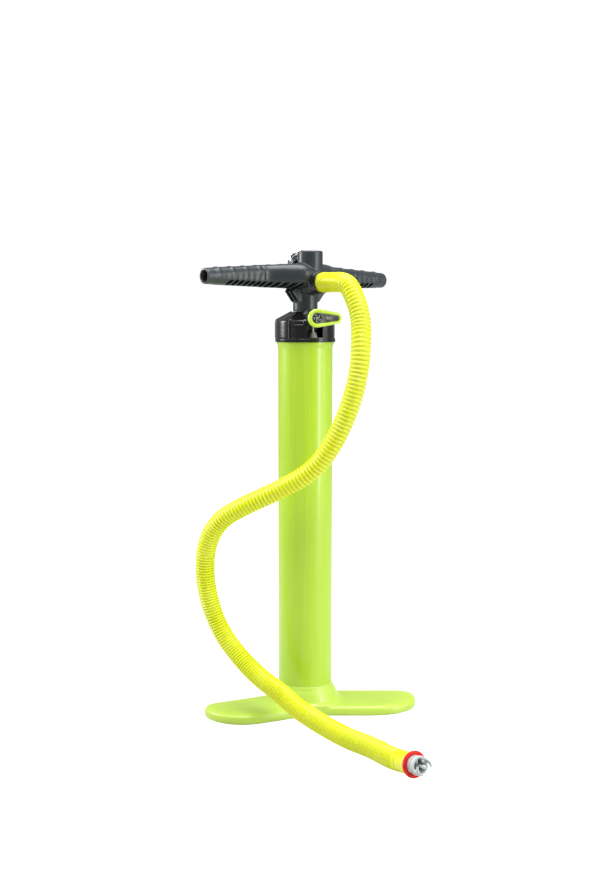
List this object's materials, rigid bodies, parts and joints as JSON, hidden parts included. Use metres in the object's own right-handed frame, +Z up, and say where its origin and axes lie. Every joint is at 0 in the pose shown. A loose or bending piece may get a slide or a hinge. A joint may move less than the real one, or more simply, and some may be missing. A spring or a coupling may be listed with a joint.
{
  "type": "double action hand pump",
  "caption": "Upright double action air pump: round barrel on a winged foot, black cap with a mode lever, T handle with gauge, and a corrugated hose ending in a bayonet nozzle.",
  "frame": {"origin": "on the barrel's axis at floor level, under the foot", "axes": "+Z up along the barrel, X along the foot's two wings, -Y towards the side the mode lever faces"},
  "size_m": [0.295, 0.421, 0.6079],
  "materials": {
    "foot_plastic": "satin moulded",
    "barrel_plastic": "glossy",
    "lime_plastic": "glossy",
    "cap_plastic": "glossy moulded",
    "grey_plastic": "fine textured",
    "inner_plastic": "moulded",
    "bush_plastic": "smooth",
    "light_plastic": "satin moulded",
    "hose_plastic": "satin",
    "red_rubber": "satin",
    "seal_rubber": "satin",
    "rod_aluminium": "drawn, bright",
    "screw_steel": "zinc plated",
    "bezel_metal": "polished",
    "dial_face": "printed",
    "needle_paint": "satin",
    "clear_lens": "clear"
  },
  "bodies": {
    "pump_base": {"foot": "foot_plastic", "foot_o_ring": "seal_rubber", "barrel": "barrel_plastic", "intake_plate": "inner_plastic", "cylinder_head": "inner_plastic", "head_o_ring": "seal_rubber", "cap": "cap_plastic", "vent_nipple": "light_plastic"},
    "swivel": {"rod_guide_bush": "bush_plastic", "rod_seal": "seal_rubber", "lower_cuff": "hose_plastic", "nozzle_body": "light_plastic", "nozzle_gasket": "red_rubber", "nozzle_pin": "light_plastic"},
    "handle_group": {"piston_rod": "rod_aluminium", "piston_base": "inner_plastic", "piston_cover": "inner_plastic", "piston_seal": "seal_rubber", "piston_screws": "screw_steel", "handle": "grey_plastic", "rod_pin": "screw_steel", "port_washer": "seal_rubber", "port_collar": "cap_plastic", "upper_cuff": "hose_plastic", "hose": "hose_plastic", "gauge_case": "cap_plastic", "gauge_dial": "dial_face", "gauge_lens": "clear_lens", "gauge_bezel": "bezel_metal"},
    "selector": {"selector_lever": "grey_plastic", "selector_ring": "lime_plastic", "selector_shaft": "inner_plastic", "vent_disc": "grey_plastic", "detent_screw": "screw_steel"},
    "plunger": {"vent_plunger": "light_plastic"},
    "bottom_inlet_flap": {"lower_intake_valve": "seal_rubber"},
    "top_inlet_flap": {"upper_intake_valve": "seal_rubber"},
    "piston_low_flap": {"lower_piston_valve": "seal_rubber"},
    "piston_high_flap": {"upper_piston_valve": "seal_rubber"},
    "needle": {"gauge_needle": "needle_paint"}
  },
  "joints": [
    {"name": "handle_turn", "type": "hinge", "parent": "pump_base", "child": "swivel", "pos_m": [0, 0, 0.5], "axis": [0, 0, 1], "continuous": true},
    {"name": "pump_stroke", "type": "slide", "parent": "swivel", "child": "handle_group", "axis": [0, 0, 1], "range_m": [0, 0.369]},
    {"name": "selector_turn", "type": "hinge", "parent": "pump_base", "child": "selector", "pos_m": [0.00429, -0.04077, 0.5195], "axis": [-0.1045, 0.9945, 0], "range_deg": [0, 90]},
    {"name": "plunger_lift", "type": "slide", "parent": "pump_base", "child": "plunger", "axis": [0, 0, 1], "range_m": [0, 0.0017]},
    {"name": "bottom_inlet_lift", "type": "slide", "parent": "pump_base", "child": "bottom_inlet_flap", "axis": [0, 0, 1], "range_m": [0, 0.002], "stiffness_N_per_m": 100, "springref_m": -0.0005},
    {"name": "top_inlet_drop", "type": "slide", "parent": "pump_base", "child": "top_inlet_flap", "axis": [0, 0, -1], "range_m": [0, 0.002], "stiffness_N_per_m": 100, "springref_m": -0.0005},
    {"name": "piston_low_lift", "type": "slide", "parent": "handle_group", "child": "piston_low_flap", "axis": [0, 0, 1], "range_m": [0, 0.002], "stiffness_N_per_m": 100, "springref_m": -0.0005},
    {"name": "piston_high_drop", "type": "slide", "parent": "handle_group", "child": "piston_high_flap", "axis": [0, 0, -1], "range_m": [0, 0.002], "stiffness_N_per_m": 100, "springref_m": -0.0005},
    {"name": "needle_turn", "type": "hinge", "parent": "handle_group", "child": "needle", "pos_m": [-0.00416, 0.00798, 0.5905], "axis": [-0.3537, 0.6795, 0.6428], "range_deg": [0, 270], "stiffness_Nm_per_rad": 0.0005}
  ],
  "couplings": [
    {"joint": "plunger_lift", "follows": "selector_turn", "m_per_rad": 0.0010186}
  ]
}
